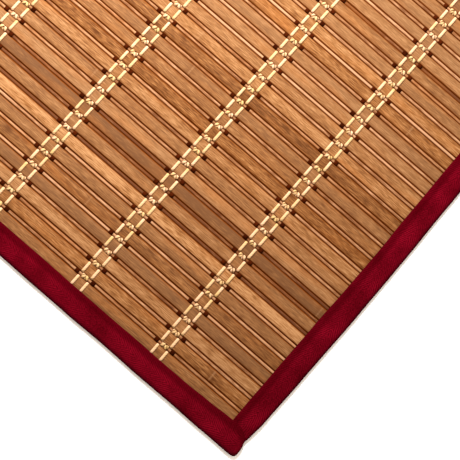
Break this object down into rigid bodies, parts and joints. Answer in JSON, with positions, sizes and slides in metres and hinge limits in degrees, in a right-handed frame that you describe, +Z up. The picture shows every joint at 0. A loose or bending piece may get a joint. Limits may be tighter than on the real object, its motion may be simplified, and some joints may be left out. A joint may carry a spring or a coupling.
{
  "type": "bamboo rug",
  "caption": "Flat bamboo slat rug: wide and thin slats woven side by side on bands of warp cord, edged with a folded crimson cloth binding.",
  "frame": {"origin": "centre of the rug's underside, where it lies on the floor", "axes": "+X along the slats, +Y along the warp cords and the long side, +Z up out of the face that is walked on"},
  "size_m": [0.624, 0.8992, 0.0058],
  "materials": {
    "bamboo_slats": "split bamboo with fine lengthwise fibres, satin",
    "bamboo_sticks": "round bamboo stick, satin, paler than the slats",
    "cream_cord": "twisted cotton cord, matt",
    "brown_cord": "twisted dark brown cotton cord, matt",
    "binding_cloth": "cotton twill tape, matt with soft sheen"
  },
  "bodies": {
    "root": {"slat_field": "bamboo_slats", "cord_band_1_over": "cream_cord", "cord_band_1_under": "cream_cord", "cord_band_2_over": "cream_cord", "cord_band_2_under": "cream_cord", "cord_band_3_over": "cream_cord", "cord_band_3_under": "cream_cord", "cord_band_4_over": "cream_cord", "cord_band_4_under": "cream_cord", "cord_band_5_over": "cream_cord", "cord_band_5_under": "cream_cord", "cord_band_6_over": "cream_cord", "cord_band_6_under": "cream_cord", "end_binding_near": "binding_cloth", "end_binding_far": "binding_cloth", "side_binding_right": "binding_cloth", "side_binding_left": "binding_cloth"}
  },
  "joints": []
}
